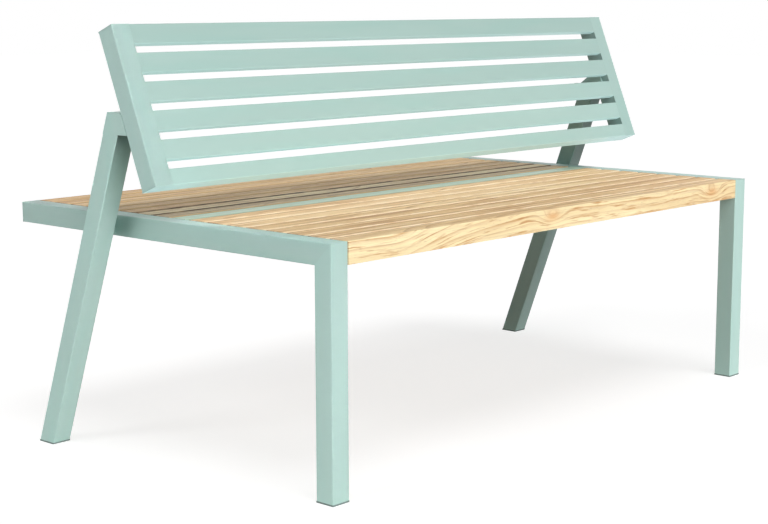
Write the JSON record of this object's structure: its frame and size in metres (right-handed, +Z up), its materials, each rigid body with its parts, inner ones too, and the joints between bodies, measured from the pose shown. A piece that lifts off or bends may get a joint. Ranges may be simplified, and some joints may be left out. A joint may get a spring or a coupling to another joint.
{
  "type": "convertible picnic table bench",
  "caption": "Slatted wood bench on a square steel tube frame; its slatted steel backrest swings over two arms to become a table top above the middle of the deck.",
  "frame": {"origin": "on the ground under the middle of the deck", "axes": "+X along the bench, +Y from the front edge to the rear edge, +Z up"},
  "size_m": [1.49, 0.864, 0.806],
  "materials": {
    "mint_paint": "satin powder coat",
    "wood": "oiled, fine sawn edges",
    "foot_plastic": "matte",
    "bush_plastic": "matte",
    "steel": "brushed stainless"
  },
  "bodies": {
    "bench_frame": {"backrest_arm_left": "mint_paint", "backrest_arm_right": "mint_paint", "centre_bearer_front": "mint_paint", "centre_bearer_rear": "mint_paint", "front_foot_left": "foot_plastic", "front_foot_right": "foot_plastic", "front_leg_left": "mint_paint", "front_leg_right": "mint_paint", "front_slat_1": "wood", "front_slat_2": "wood", "front_slat_3": "wood", "front_slat_4": "wood", "front_slat_5": "wood", "front_slat_6": "wood", "front_slat_7": "wood", "front_slat_8": "wood", "leg_block_left": "mint_paint", "leg_block_right": "mint_paint", "pivot_barrels": "steel", "pivot_bolt_left": "steel", "pivot_bolt_right": "steel", "rear_foot_left": "foot_plastic", "rear_foot_right": "foot_plastic", "rear_leg_left": "mint_paint", "rear_leg_right": "mint_paint", "rear_slat_1": "wood", "rear_slat_2": "wood", "rear_slat_3": "wood", "rear_slat_4": "wood", "rear_slat_5": "wood", "rear_slat_6": "wood", "rear_slat_7": "wood", "rear_slat_8": "wood", "seat_crossbar": "mint_paint", "side_rail_caps": "mint_paint", "side_rail_left": "mint_paint", "side_rail_right": "mint_paint", "slat_ledge_front_left": "mint_paint", "slat_ledge_front_right": "mint_paint", "slat_ledge_rear_left": "mint_paint", "slat_ledge_rear_right": "mint_paint", "wood_screws": "steel"},
    "backrest": {"backrest_bar_1": "mint_paint", "backrest_bar_2": "mint_paint", "backrest_bar_3": "mint_paint", "backrest_bar_4": "mint_paint", "backrest_bar_5": "mint_paint", "backrest_bar_6": "mint_paint", "backrest_side_caps": "mint_paint", "backrest_side_left": "mint_paint", "backrest_side_right": "mint_paint", "hinge_bushes": "bush_plastic", "hinge_plate_left": "mint_paint", "hinge_plate_right": "mint_paint", "lock_body_left": "steel", "lock_body_right": "steel"},
    "left_lock": {"lock_pin_left": "steel"},
    "right_lock": {"lock_pin_right": "steel"}
  },
  "joints": [
    {"name": "backrest_swing", "type": "hinge", "parent": "bench_frame", "child": "backrest", "pos_m": [0, 0.01808, 0.638], "axis": [-1, 0, 0], "range_deg": [0, 68.26]},
    {"name": "left_lock_slide", "type": "slide", "parent": "backrest", "child": "left_lock", "axis": [-1, 0, 0], "range_m": [0, 0.008]},
    {"name": "right_lock_slide", "type": "slide", "parent": "backrest", "child": "right_lock", "axis": [1, 0, 0], "range_m": [0, 0.008]}
  ]
}
